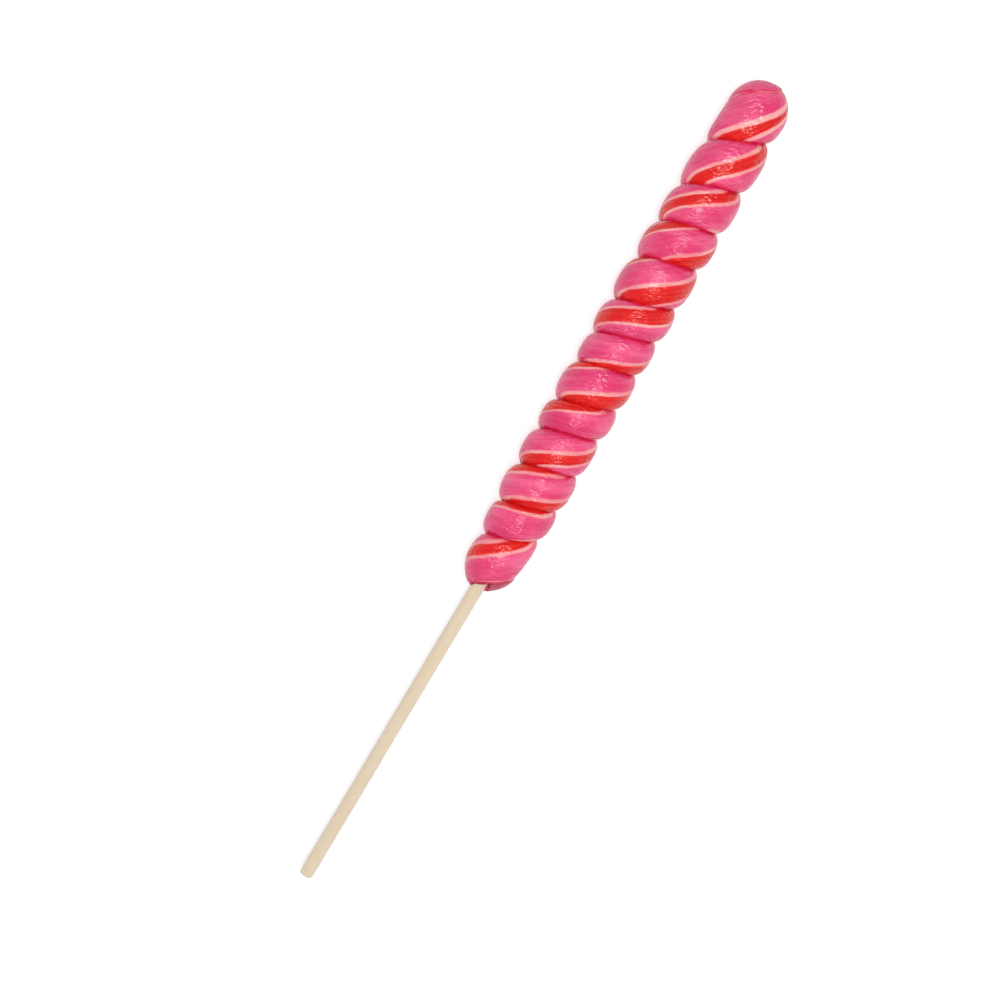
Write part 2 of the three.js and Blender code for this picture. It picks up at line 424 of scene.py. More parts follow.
def make_plan_group(last):
    outputs = ["Crease", "Climb", "Width", "Swell"]
    tree, given, result = new_tree(
        "Plan at a turn",
        [("Plan", "NodeSocketGeometry"), ("Turn", "NodeSocketFloat")],
        [(name, "NodeSocketFloat") for name in outputs],
    )
    turn = Value(tree, given.outputs["Turn"])
    place = between((turn - FIRST_TURN) * PLAN_STEPS, 0, last)
    index = least(place.math("FLOOR"), last - 1)
    t = place - index
    position = tree.nodes.new("GeometryNodeInputPosition").outputs[0]
    swell = add_node(tree, "GeometryNodeInputNamedAttribute", {"data_type": "FLOAT"}, Name="swell")

    def sample(step, kind, socket):
        settings = {"data_type": kind, "domain": "POINT", "clamp": True}
        node = add_node(tree, "GeometryNodeSampleIndex", settings, Index=index + step)
        tree.links.new(given.outputs["Plan"], node.inputs["Geometry"])
        tree.links.new(socket, node.inputs["Value"])
        return node.outputs["Value"]

    back = 1 - t
    into = t * back * back * 0.5
    out = t * t * back * 0.5
    shares = [-into, (1 + 2 * t) * back * back + out, (3 - 2 * t) * t * t + into, -out]
    samples = [sample(step, "FLOAT_VECTOR", position) for step in range(-1, 3)]
    parts = tree.nodes.new("ShaderNodeSeparateXYZ")
    tree.links.new(vector_sum(tree, zip(samples, shares)), parts.inputs[0])
    for axis, slot in zip(parts.outputs, result.inputs):
        tree.links.new(axis, slot)
    ends = [Value(tree, sample(step, "FLOAT", swell.outputs[0])) for step in (0, 1)]
    tree.links.new(mix(*ends, t).socket, result.inputs["Swell"])
    return tree


plan_group = make_plan_group(len(rope.data.vertices) - 1)
print("plan group:", len(plan_group.nodes), "nodes")

# %% [markdown]
# ## Wrapping the rope round the candy
# The rope's outer surface is a long strip. One side of the strip is the crease before
# it and the other is the crease after it, a whole turn later, so the strip's two sides
# meet all the way along. A flat grid is laid out with the turn along X and the place
# across the rope along Y, and every point of it is then moved to its place by a formula:
# how far along the surface it lies, how far it drops from the crest, and where the turn
# puts it round the axis. Sweeping a circle along a helix would be the usual way, but
# the turns would then run through each other instead of being pressed flat together.
#
# The drop comes first. It is the outline of the rope's section, from the crest down to
# the depth of the crease.

# %% The rope's section
def crease_depth(turn, before, here, after):
    """Half the height of the rope at the crease, from the crease distances before and after it. Here
    is not used.
    """
    open_share = smooth_step(turn, *OPENING_TURNS) * (1 - smooth_step(turn, *CLOSING_TURNS))
    width = most((after - before) / 2, 0)
    return mix(SHUT_CREASE, 1, open_share) * ROPE_DEPTH * (width / ROPE_WIDTH) ** ROPE_SPREAD


def rope_drop(across):
    """0 on the crest and nearly 1 at the creases."""
    out = (2 * across - 1).math("ABSOLUTE") / ROPE_OVERLAP
    return 1 - (1 - out**ROPE_SQUARENESS) ** (1 / ROPE_SQUARENESS)


crease_drop = 1 - (1 - ROPE_OVERLAP**-ROPE_SQUARENESS) ** (1 / ROPE_SQUARENESS)
print("the crease reaches", round(crease_drop, 2), "of the way down to the rope's middle")

# %% [markdown]
# ## The candy's line and its ends
# The candy bends a little sideways near both ends. At the stick end, points near the
# stick's top stand back for the notch, and a lumpy noise makes the rim ragged. Both fade
# out within a few millimetres of the end.

# %% Bends and the notch
def sideways_bend(along):
    """How far the candy's middle lies to the left at a place along it."""
    side = 0
    for reach, fade in STICK_END_BENDS:
        side = reach * exp(along / -fade) + side
    for reach, fade in TIP_BENDS:
        side = reach * exp((along - CANDY_LENGTH) / fade) + side
    return side


def end_notch(along, side, up):
    """How far the candy's end stands back where the first turn leaves the stick's top bare."""
    under_edge = smooth_step(NOTCH_TOP - NOTCH_SLANT * side - up, 0, NOTCH_SOFTNESS)
    under_edge *= smooth_step(up, *UPPER_SIDE)
    rim = (NOTCH_HALF_WIDTH, NOTCH_HALF_WIDTH + NOTCH_RIM)
    over_stick = 1 - smooth_step(side.math("ABSOLUTE"), *rim)
    lumps = noise(side.tree, side * LUMPS_PER_MM, up * LUMPS_PER_MM, LUMP_SEED)
    ragged = lumps * (1 - smooth_step(along, *RAGGED_FADE)) * RAGGED_END
    at_end = 1 - smooth_step(along, *NOTCH_FADE)
    return at_end * (under_edge * over_stick * (NOTCH_DEPTH - NOTCH_SKEW * side) + ragged)


print("the notch is", NOTCH_DEPTH, "mm deep over the stick")

# %% [markdown]
# ## From the strip to a place in space
# The distance along the surface goes over the rounded stick end, along the body, and over
# the rounded tip. At the two poles the whole width of the strip is drawn together into one
# point, so that the ends are closed. The drop fades out there too, or the creases would
# leave a hole. Nothing may sink below the table, so low points are lifted to it.

# %% A wrapped point
POLE_FADE = 1.0
POLE_RADIUS = 0.15


def wrapped_point(turn, distance, drop, radius, height):
    """X, Y and Z of a point at a distance along the surface, dropped from the crest."""
    distance *= distance.math("GREATER_THAN", POLE_RADIUS)
    left_over = SURFACE_LENGTH - distance
    distance = SURFACE_LENGTH - left_over * left_over.math("GREATER_THAN", POLE_RADIUS)
    start_angle = least(distance / END_ROUND, QUARTER)
    tip_angle = least((SURFACE_LENGTH - distance) / END_ROUND, QUARTER)
    body = between(distance - QUARTER * END_ROUND, 0, CANDY_LENGTH - 2 * END_ROUND)
    drop = drop * smooth_step(least(distance, SURFACE_LENGTH - distance), 0, POLE_FADE)
    crest_along = END_ROUND * (1 - cos(start_angle) + cos(tip_angle)) + body
    slimming = STICK_END_SLIMMING * exp(crest_along / -SLIMMING_FADE)
    slimming += TIP_SLIMMING * exp((crest_along - CANDY_LENGTH) / SLIMMING_FADE)
    roundness = sin(start_angle) * most(sin(tip_angle), 0) ** TIP_FULLNESS

    along = crest_along - drop * (cos(tip_angle) - cos(start_angle))
    out = roundness * (radius * (1 - slimming) - drop)
    side = out * cos(turn * 2 * math.pi) + sideways_bend(along)
    up = out * sin(turn * 2 * math.pi)
    lean = END_LEAN * up * exp(along / -END_LEAN_FADE) + end_notch(along, side, up)
    return CANDY_START + along + lean, side, most(height + up, 0)


print("the surface is", round(SURFACE_LENGTH, 1), "mm long from pole to pole")

# %% [markdown]
# ## Marks of the making
# Pulled sugar isn't smooth. Fine ribs run down the rope, because it was stretched from a
# thicker one, and they climb with the stripes. Where the warm rope was bent round the
# stick its outside wrinkled a little across. Both are noise that is stretched one way or
# the other, and both fade out towards the creases, where the strip's two sides have to
# meet. In three places the sugar was too stiff already, and puckered into small folds
# beside the crease.

# %% Noise on the rope
RIB_HEIGHT = 0.06
RIBS_PER_WIDTH = 16.0
RIB_LENGTH_TURNS = 0.22
WRINKLE_HEIGHT = 0.05
WRINKLE_SIZE_ALONG = 0.028
WRINKLE_SIZE_ACROSS = 0.16
WRINKLE_SEED = 20
EDGE_FADE = 0.16

FOLD_HEIGHT = 0.16
FOLDS_PER_WIDTH = 20.0
FOLDS_PER_TURN = 9.0
FOLD_SEED = 60
PUCKERED_TURNS = [4.22, 7.2, 10.22]
PUCKER_REACH = 0.16
PUCKER_RISE = (0.02, 0.08)
PUCKER_FALL = (0.15, 0.42)


def folded_share(turn, across):
    """1 where the rope is puckered beside the crease on its stick side, and 0 elsewhere."""
    near = 0.0
    for puckered in PUCKERED_TURNS:
        away = (turn - puckered).math("ABSOLUTE")
        near = 1 - smooth_step(away, PUCKER_REACH / 2, PUCKER_REACH) + near
    return near * smooth_step(across, *PUCKER_RISE) * (1 - smooth_step(across, *PUCKER_FALL))


def relief(tree, turn, across, climb, folded, seed):
    """How far the surface stands out in ribs, wrinkles and folds."""
    inside = smooth_step(across, 0, EDGE_FADE) * (1 - smooth_step(across, 1 - EDGE_FADE, 1))
    place = climb - across
    ribs = noise(tree, turn / RIB_LENGTH_TURNS, place * RIBS_PER_WIDTH, seed) * RIB_HEIGHT
    size = (turn / WRINKLE_SIZE_ALONG, place / WRINKLE_SIZE_ACROSS)
    wrinkles = noise(tree, *size, seed + WRINKLE_SEED) * WRINKLE_HEIGHT
    folds = noise(tree, turn * FOLDS_PER_TURN, across * FOLDS_PER_WIDTH, seed + FOLD_SEED)
    return inside * (ribs + wrinkles) + folds * folded * FOLD_HEIGHT


print("ribs", RIB_HEIGHT, "mm, wrinkles", WRINKLE_HEIGHT, "mm, folds", FOLD_HEIGHT, "mm high")


# %% [markdown]
# ## The rope's node tree
# Now the parts come together. The tree makes the grid, notes on every corner of every
# face where it lies on the rope, moves the points, and welds the strip's two sides along
# the crease. The notes are kept on face corners because a welded point belongs to two
# turns at once, and each side has to keep its own stripe there. The grid's rows are
# closer together near the creases, where the surface turns down steeply.

# %% The rope's tree
STEPS_PER_TURN = 150
STEPS_ACROSS = 38
ROPE_SEED = 4.0
WELD = 0.001
TURNS = LAST_TURN + 1 - FIRST_TURN


def read_plan(tree, plan, turn):
    """The crease, the stripe's climb and width, and the swell at a turn."""
    node = add_node(tree, "GeometryNodeGroup", {"node_tree": plan_group}, Turn=turn)
    tree.links.new(plan, node.inputs["Plan"])
    return [Value(tree, socket) for socket in node.outputs]


def store(tree, geometry, name, value):
    """Notes a value on every face corner and gives the geometry back."""
    settings = {"data_type": "FLOAT", "domain": "CORNER"}
    node = add_node(tree, "GeometryNodeStoreNamedAttribute", settings)
    node.inputs["Name"].default_value = name
    tree.links.new(geometry, node.inputs["Geometry"])
    plug(tree, value, node.inputs["Value"])
    return node.outputs["Geometry"]


def make_rope_tree():
    tree, given, result = new_tree(
        "Rope of boiled sugar",
        [
            ("Plan", "NodeSocketGeometry"),
            ("Crest radius", "NodeSocketFloat"),
            ("Axis height", "NodeSocketFloat"),
            ("Steps per turn", "NodeSocketInt"),
            ("Steps across", "NodeSocketInt"),
            ("Seed", "NodeSocketFloat"),
            ("Material", "NodeSocketMaterial"),
        ],
        [("Geometry", "NodeSocketGeometry")],
    )
    value = {socket.name: Value(tree, socket) for socket in given.outputs if socket.name}
    plan = given.outputs["Plan"]

    grid = add_node(
        tree,
        "GeometryNodeMeshGrid",
        Size_X=TURNS,
        Size_Y=1.0,
        Vertices_X=value["Steps per turn"] * TURNS + 1,
        Vertices_Y=value["Steps across"] + 1,
    )
    position = tree.nodes.new("ShaderNodeSeparateXYZ")
    tree.links.new(tree.nodes.new("GeometryNodeInputPosition").outputs[0], position.inputs[0])
    turn = Value(tree, position.outputs["X"]) + (FIRST_TURN + TURNS / 2)
    across = 0.5 + 0.5 * sin(Value(tree, position.outputs["Y"]) * math.pi)

    creases = [read_plan(tree, plan, turn + step) for step in (-2, -1, 0, 1)]
    before, under, over, after = [reading[0] for reading in creases]
    climb, width, swell = creases[2][1:]
    low_depth = crease_depth(turn - 1, before, under, over)
    high_depth = crease_depth(turn, under, over, after)
    distance = mix(under, over, across)
    crest = 1 - (2 * across - 1) * (2 * across - 1)
    folded = folded_share(turn, across)
    bumps = relief(tree, turn, across, climb, folded, value["Seed"]) + swell * crest
    drop = mix(low_depth, high_depth, across) * rope_drop(across) - bumps

    notes = {"turn": turn, "across": across, "climb": climb - across}
    notes |= {"stripe": width, "folded": folded}
    geometry = grid.outputs["Mesh"]
    for name, note in notes.items():
        geometry = store(tree, geometry, name, note)

    x, y, z = wrapped_point(turn, distance, drop, value["Crest radius"], value["Axis height"])
    place = add_node(tree, "ShaderNodeCombineXYZ", X=x * MM, Y=y * MM, Z=z * MM)
    move = tree.nodes.new("GeometryNodeSetPosition")
    tree.links.new(geometry, move.inputs["Geometry"])
    tree.links.new(place.outputs[0], move.inputs["Position"])
    weld = add_node(tree, "GeometryNodeMergeByDistance", Distance=WELD * MM)
    tree.links.new(move.outputs[0], weld.inputs["Geometry"])
    smooth = add_node(tree, "GeometryNodeSetShadeSmooth")
    tree.links.new(weld.outputs[0], smooth.inputs[0])
    real = tree.nodes.new("GeometryNodeRealizeInstances")
    tree.links.new(smooth.outputs[0], real.inputs[0])
    finish = add_node(tree, "GeometryNodeSetMaterial", Material=value["Material"])
    tree.links.new(real.outputs[0], finish.inputs[0])
    tree.links.new(finish.outputs[0], result.inputs[0])
    return tree


rope_tree = make_rope_tree()
print("rope tree:", len(rope_tree.nodes), "nodes")

# %% [markdown]
# ## Notes and noise in a material
# The colours follow the rope, so the material reads the notes that the tree left on the
# face corners. A picture wrapped round the candy would do too, but it would have a
# fixed sharpness, and would have to be painted first. Each kind of noise is given as its
# lumps a turn, its lumps a rope width, and a seed that keeps it unlike the others.

# %% Helpers for the sugar
def attribute(tree, name):
    """A note from the face corners."""
    node = add_node(tree, "ShaderNodeAttribute", {"attribute_name": name})
    return Value(tree, node.outputs["Fac"])


def lumps(tree, kind, turn, across, detail=2.0):
    """Noise of one kind, between -1 and 1."""
    per_turn, per_width, seed = kind
    return noise(tree, turn * per_turn, across * per_width, seed, detail=detail)


def blend_colours(tree, share, low, high):
    """The low colour at a share of 0 and the high colour at 1."""
    node = add_node(tree, "ShaderNodeMix", {"data_type": "RGBA"})
    plug(tree, share, node.inputs["Factor"])
    for name, colour in (("A", low), ("B", high)):
        slot = next(s for s in node.inputs if s.name == name and s.type == "RGBA")
        plug(tree, colour if isinstance(colour, Value) else (*colour, 1.0), slot)
    return Value(tree, next(s for s in node.outputs if s.type == "RGBA"))


def edge_share(across):
    """0 in the middle of the rope's width and 1 at either crease."""
    return (2 * across - 1).math("ABSOLUTE")


def over_turns(tree, first, last, fade=0.06):
    """1 between two turns and 0 outside them."""
    turn = attribute(tree, "turn")
    started = smooth_step(turn, first - fade, first + fade)
    return started * (1 - smooth_step(turn, last - fade, last + fade))


print("each noise is given as lumps a turn, lumps a rope width and a seed")

# %% [markdown]
# ## The stripe pattern
# The stripes are worked out from the notes: what matters is how far a place is from the
# middle of the nearest stripe, counted in rope widths. Each stripe is red between two pale
# lines. The line on the tip's side is wider. Both are narrower where the rope turns under
# on the left and wider near the tip, and they fade where they sink into a crease. A
# little noise makes every edge wander.

# %% The stripe pattern
LINE_WIDTH_TIP_SIDE = 0.105
LINE_WIDTH_STICK_SIDE = 0.085
LINE_WIDTH_LEFT = 0.6
NARROW_TURN = 0.15
LINE_WIDENING = 1.3
WIDENING_TURNS = (10.8, 12.2)
LINE_SINKING = 0.8
SINKING_AT = (0.9, 1.0)
STRIPE_SHOWS = (0.02, 0.05)
LINE_SHOWS = (0.03, 0.1)
WANDER = 0.03
WANDER_LUMPS = (14, 4, 0.0)
RED_EDGE = 0.018
LINE_EDGE = 0.028
SIDE_EDGE = 0.02


def stripe_masks(tree, turn, across):
    """Shares of red and of line colour, from 0 to 1."""
    climb = attribute(tree, "climb") + lumps(tree, WANDER_LUMPS, turn, across, 3.0) * WANDER
    width = attribute(tree, "stripe")
    half = width / 2
    offset = (((climb - half) / STRIPE_SPACING + 0.5).math("FRACT") - 0.5) * STRIPE_SPACING
    off_edge = offset.math("ABSOLUTE") - half

    stick_side = smooth_step(offset, -SIDE_EDGE, SIDE_EDGE)
    line_width = mix(LINE_WIDTH_TIP_SIDE, LINE_WIDTH_STICK_SIDE, stick_side)
    upper_right = sin((turn - NARROW_TURN) * (2 * math.pi)) * 0.5 + 0.5
    line_width *= mix(LINE_WIDTH_LEFT, 1, upper_right)
    line_width *= mix(1, LINE_WIDENING, smooth_step(turn, *WIDENING_TURNS))
    line_width *= smooth_step(width, *LINE_SHOWS)

    shown = smooth_step(width, *STRIPE_SHOWS)
    red = (1 - smooth_step(off_edge, -RED_EDGE, RED_EDGE)) * shown
    line = (1 - smooth_step(off_edge - line_width, -LINE_EDGE, LINE_EDGE)) * shown
    return red, line * (1 - LINE_SINKING * smooth_step(edge_share(across), *SINKING_AT))


print("the lines are", LINE_WIDTH_TIP_SIDE, "and", LINE_WIDTH_STICK_SIDE, "of the rope's width")

# %% [markdown]
# ## Edges of the sheet
# Three more pale lines don't belong to the stripes. They are edges of the sheet that the
# rope was rolled from, where its pale skin shows. One is at the start, one at turn 10, and
# one, broken, at the tip. Each lies close beside a crease, so it is made from the place
# across the rope alone.

# %% The sheet's edges
FIRST_EDGE_TURNS = (0.25, 0.5)
FIRST_EDGE_ENDS = (0.035, 0.06)
FIRST_EDGE_STRENGTH = 0.75
STRAY_EDGE_TURNS = (10.36, 10.5)
STRAY_EDGE_STARTS = (0.03, 0.05)
STRAY_EDGE_ENDS = (0.09, 0.12)
STRAY_EDGE_STRENGTH = 0.8
STRAY_EDGE_FADE = 0.04
LAST_EDGE_TURNS = (12.05, 12.45)
LAST_EDGE_STARTS = (0.94, 0.98)
LAST_EDGE_STRENGTH = 0.5
BROKEN_LUMPS = (22, 12, 9.0)
BROKEN_AT = (-0.3, 0.3)


def sheet_edges(tree, turn, across):
    """Share of line colour on the sheet's own edges."""
    first = over_turns(tree, *FIRST_EDGE_TURNS) * (1 - smooth_step(across, *FIRST_EDGE_ENDS))
    stray = over_turns(tree, *STRAY_EDGE_TURNS, STRAY_EDGE_FADE)
    stray *= smooth_step(across, *STRAY_EDGE_STARTS)
    stray *= 1 - smooth_step(across, *STRAY_EDGE_ENDS)
    last = over_turns(tree, *LAST_EDGE_TURNS) * smooth_step(across, *LAST_EDGE_STARTS)
    last *= smooth_step(lumps(tree, BROKEN_LUMPS, turn, across), *BROKEN_AT)
    strongest = most(first * FIRST_EDGE_STRENGTH, last * LAST_EDGE_STRENGTH)
    return most(strongest, stray * STRAY_EDGE_STRENGTH)


print("the last edge starts", LAST_EDGE_TURNS[0], "turns on and is", LAST_EDGE_STRENGTH, "strong")

# %% [markdown]
# ## The pink
# The pink is never quite even, because the sugar was pulled and folded with air in it. It
# drifts between two pinks in soft clouds and long fibres, and is deeper in thin streaks.
# Towards the creases it is painted deeper as well: painted shade, for the light that
# bounces from sugar to sugar there. The hollows of the puckers' folds get painted shade,
# darker still, and the rope's cut end is darker too. The fibres and streaks climb with
# the stripes.

# %% The pink of the rope
PINK = (0.77, 0.055, 0.182)
PINK_PALE = (0.9, 0.137, 0.292)
# A deeper pink for the real streaks and for the painted shade in the creases.
PINK_STREAKS_AND_CREASE_SHADE = (0.76, 0.024, 0.115)
# A dark pink for the rope's cut end and for the painted shade in the folds' hollows.
PINK_FLAP_AND_HOLLOW_SHADE = (0.5, 0.014, 0.06)
CLOUD_SHARE = 0.72
PALE_AT = (0.4, 0.66)
# Painted crease shade: where it starts and ends, as a share of the way out to a crease.
CREASE_SHADE_AT = (0.78, 1.0)
STREAKS = (1.6, 10, 31.0)
STREAKS_AT = (0.1, 0.5)
STREAK_STRENGTH = 0.55
# Painted shade in the folds' hollows, read from the same noise as the folds' relief.
FOLD_HOLLOW_SHADE = (FOLDS_PER_TURN, FOLDS_PER_WIDTH, ROPE_SEED + FOLD_SEED)
FOLD_HOLLOW_SHADE_AT = (0.0, 0.35)
FOLD_HOLLOW_SHADE_STRENGTH = 0.6
FLAP_TURNS = (-1.0, -0.5)
FLAP_STRENGTH = 0.55
FLAP_FIBRES = (0.3, 0.6)


def rope_pink(tree, turn, across, climb, fibres, clouds):
    """The pink with its clouds, streaks, painted crease shade, painted shade in fold hollows and dark
    cut end.
    """
    pale = smooth_step(clouds * CLOUD_SHARE + fibres * (1 - CLOUD_SHARE), *PALE_AT)
    pink = blend_colours(tree, pale, PINK, PINK_PALE)
    streaks = smooth_step(lumps(tree, STREAKS, turn, climb, 4.0), *STREAKS_AT)
    # Painted shade deepens the pink towards the creases. The streaks are the sugar's own.
    deep = most(smooth_step(edge_share(across), *CREASE_SHADE_AT), streaks * STREAK_STRENGTH)
    pink = blend_colours(tree, deep, pink, PINK_STREAKS_AND_CREASE_SHADE)
    # Painted shade: the pink is darkened where the folds' relief dips into hollows.
    hollow_shade = smooth_step(lumps(tree, FOLD_HOLLOW_SHADE, turn, across) * -1, *FOLD_HOLLOW_SHADE_AT)
    hollow_shade *= attribute(tree, "folded") * FOLD_HOLLOW_SHADE_STRENGTH
    pink = blend_colours(tree, hollow_shade, pink, PINK_FLAP_AND_HOLLOW_SHADE)
    flap = over_turns(tree, *FLAP_TURNS) * mix(FLAP_STRENGTH, 1, smooth_step(fibres, *FLAP_FIBRES))
    return blend_colours(tree, flap, pink, PINK_FLAP_AND_HOLLOW_SHADE)


print("a crease keeps", round(PINK_STREAKS_AND_CREASE_SHADE[1] / PINK[1], 2), "of the green in a crest's pink")

# %% [markdown]
# ## The crazing
# The skin of cooling sugar crazes all over, and that breaks every highlight into small
# specks. The lumps are far smaller than the mesh's faces could show, and only the light
# reveals them, so they are a bump in the material and not a shape. Longer ridges that
# climb with the stripes are added at half strength.

# %% The crazing
GRAIN = (34, 15, 11.0)
FINE_GRAIN = (120, 50, 13.0)
FINE_GRAIN_SHARE = 0.1
RIDGES = (4, 13, 17.0)
RIDGES_SHARE = 0.5
CRAZING_HEIGHT = 0.27 * MM


def crazed_surface(tree, turn, across, climb):
    """The bump that breaks up the highlights."""
    grain = lumps(tree, GRAIN, turn, across, 1.0)
    fine_grain = lumps(tree, FINE_GRAIN, turn, across)
    ridges = lumps(tree, RIDGES, turn, climb)
    crazing = grain + fine_grain * FINE_GRAIN_SHARE + ridges * RIDGES_SHARE
    settings = {"Strength": 1.0, "Distance": CRAZING_HEIGHT}
    return add_node(tree, "ShaderNodeBump", Height=crazing, **settings).outputs[0]


print("the crazing is", round(CRAZING_HEIGHT / MM, 2), "mm high")

# %% [markdown]
# ## The sugar material
# Boiled sugar is clear, and its colour is mixed all through it. Light enters, scatters a
# little way and comes out again, so thin edges glow and creases turn a deep crimson.
# Glass with colour inside would be truer, but noisy and slow. A Principled shader with
# subsurface light looks the same on a piece this thick. Red scatters furthest. The pale
# lines turn paler in clouds and near the tip.

# %% The sugar material
RED = (0.8, 0.024, 0.02)
RED_DEEP = (0.7, 0.01, 0.012)
RED_FIBRES = (0.42, 0.62)
LINE = (0.9, 0.27, 0.31)
LINE_PALE = (0.98, 0.48, 0.45)
LINE_CLOUDS = (0.35, 0.7)
TIP_PALING = 0.8
FIBRES = (2.2, 14, 3.0)
CLOUDS = (3.5, 2.5, 7.0)
ROUGHNESS = (0.19, 0.27)
ROUGHNESS_CLOUDS = (0.3, 0.7)
GLOSS = 0.36
SCATTERING = 0.5
SCATTERING_REACH = (1.0, 0.25, 0.35)
SCATTERING_SCALE = 1.2 * MM


def make_sugar():
    material = bpy.data.materials.new("boiled_sugar")
    material.use_nodes = True
    tree = material.node_tree
    shader = tree.nodes["Principled BSDF"]
    turn, across, climb = (attribute(tree, name) for name in ("turn", "across", "climb"))
    fibres = lumps(tree, FIBRES, turn, climb, 4.0) * 0.5 + 0.5
    clouds = lumps(tree, CLOUDS, turn, across, 3.0) * 0.5 + 0.5

    red = blend_colours(tree, smooth_step(fibres, *RED_FIBRES), RED, RED_DEEP)
    near_tip = smooth_step(turn, *WIDENING_TURNS) * TIP_PALING
    paling = most(smooth_step(clouds, *LINE_CLOUDS), near_tip)
    line = blend_colours(tree, paling, LINE, LINE_PALE)
    red_share, line_share = stripe_masks(tree, turn, across)
    line_share = most(line_share, sheet_edges(tree, turn, across))
    colour = rope_pink(tree, turn, across, climb, fibres, clouds)
    colour = blend_colours(tree, line_share, colour, line)
    colour = blend_colours(tree, red_share, colour, red)
    tree.links.new(colour.socket, shader.inputs["Base Color"])

    tree.links.new(crazed_surface(tree, turn, across, climb), shader.inputs["Normal"])
    roughness = mix(*ROUGHNESS, smooth_step(clouds, *ROUGHNESS_CLOUDS))
    tree.links.new(roughness.socket, shader.inputs["Roughness"])
    shader.inputs["Specular IOR Level"].default_value = GLOSS
    shader.inputs["IOR"].default_value = 1.5
    shader.inputs["Subsurface Weight"].default_value = SCATTERING
    shader.inputs["Subsurface Radius"].default_value = SCATTERING_REACH
    shader.inputs["Subsurface Scale"].default_value = SCATTERING_SCALE
    return material


sugar = make_sugar()
print("sugar material:", len(sugar.node_tree.nodes), "nodes")

# %% [markdown]
# ## Growing the rope
# The tree is added as a modifier, its inputs are set, and the result is turned into a
# plain mesh that stands for the candy's solid. The modifier is removed first, so that
# what rides on the frame is the mesh alone.

# %% Grow the rope
def set_inputs(modifier, **values):
    """Sets a Geometry Nodes modifier's inputs by their socket identifiers."""
    for item in modifier.node_group.interface.items_tree:
        key = item.name.replace(" ", "_")
        if item.in_out == "INPUT" and key in values:
            modifier[item.identifier] = values[key]


def grow(target, tree, **values):
    """Runs a tree on an object and leaves the result as the object's own plain mesh."""
    modifier = target.modifiers.new("grow", "NODES")
    modifier.node_group = tree
    set_inputs(modifier, **values)
    evaluated = target.evaluated_get(bpy.context.evaluated_depsgraph_get())
    mesh = bpy.data.meshes.new_from_object(evaluated)
    target.modifiers.remove(modifier)
    target.data = mesh
    mesh.name = target.name
    return target


grow(
    rope,
    rope_tree,
    Crest_radius=CANDY_RADIUS,
    Axis_height=AXIS_HEIGHT,
    Steps_per_turn=STEPS_PER_TURN,
    Steps_across=STEPS_ACROSS,
    Seed=ROPE_SEED,
    Material=sugar,
)
print("candy_rope:", len(rope.data.vertices), "points,", len(rope.data.polygons), "faces")
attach(rope, "root")
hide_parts("candy")

# %% [markdown]
# ## The stick
# The stick is a birch dowel, cut square and tumbled, so that its rim is a little soft.
# It is turned as rings of points round a line, and each ring is a hair larger or smaller
# than the last, as sanded wood is. A cylinder primitive would have knife-sharp ends.

# %% The stick
STICK_RADIUS = (stick_high.z - stick_low.z) / 2
STICK_LEAN = 0.0085
STICK_SHIFT = 0.13 * MM
STICK_EDGE = 0.5 * MM
STICK_SIDES = 48
STICK_RINGS = 110
EDGE_RINGS = 5
SANDING = 0.03 * MM
SANDING_WAVES = ((3, 40), (2, 130))


def stick_stations():
    """Distance from the free end and radius of each ring."""
    length = stick_high.x - stick_low.x
    step = (length - 2 * STICK_EDGE) / STICK_RINGS
    edge = []
    for ring in reversed(range(EDGE_RINGS)):
        angle = QUARTER * ring / EDGE_RINGS
        inset = STICK_EDGE * (1 - math.cos(angle))
        edge.append((STICK_EDGE * (1 - math.sin(angle)), STICK_RADIUS - inset))
    middle = [(STICK_EDGE + step * ring, STICK_RADIUS) for ring in range(1, STICK_RINGS)]
    far = [(length - x, radius) for x, radius in reversed(edge)]
    return edge + middle + far


def make_stick():
    """The dowel as rings of points along X, closed at both ends."""
    points, faces = [], []
    stations = stick_stations()
    for x, radius in stations:
        for side in range(STICK_SIDES):
            angle = 2 * math.pi * side / STICK_SIDES
            uneven = SANDING
            for waves_round, waves_along in SANDING_WAVES:
                uneven *= math.sin(waves_round * angle + waves_along * x)
            reach = radius + uneven
            points.append((x, reach * math.cos(angle), reach * math.sin(angle)))
    for ring in range(len(stations) - 1):
        for side in range(STICK_SIDES):
            a = ring * STICK_SIDES + side
            b = ring * STICK_SIDES + (side + 1) % STICK_SIDES
            faces.append((a, b, b + STICK_SIDES, a + STICK_SIDES))
    last = (len(stations) - 1) * STICK_SIDES
    faces.append(tuple(range(STICK_SIDES))[::-1])
    faces.append(tuple(last + side for side in range(STICK_SIDES)))
    mesh = bpy.data.meshes.new("stick_dowel")
    mesh.from_pydata(points, [], faces)
    mesh.polygons.foreach_set("use_smooth", [True] * len(faces))
    return mesh


def place_stick(mesh):
    """Puts the dowel on its own leaning line, from the free end inwards."""
    entry = Vector((CANDY_START * MM, STICK_SHIFT, AXIS_HEIGHT * MM))
    lean = Matrix.Rotation(-math.atan(STICK_LEAN), 4, "Z")
    reach = Matrix.Translation((stick_low.x - entry.x, 0, 0))
    mesh.transform(Matrix.Translation(entry) @ lean @ reach)


stick = bpy.data.objects.new("stick_dowel", make_stick())
place_stick(stick.data)
bpy.context.scene.collection.objects.link(stick)
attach(stick, "root")
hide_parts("stick")
print("stick_dowel:", len(stick.data.polygons), "faces,", round(2 * STICK_RADIUS / MM, 2), "mm")

# %% [markdown]
# ## The wood
# Birch is pale and even. Its grain is long thin streaks that run the length of the
# stick, so the noise is stretched along X, with a few darker flecks where vessels were
# cut open, and faint warmer patches. Each noise has its lumps a metre along the stick and
# across it. Sanded wood is dull, and scatters light almost evenly.

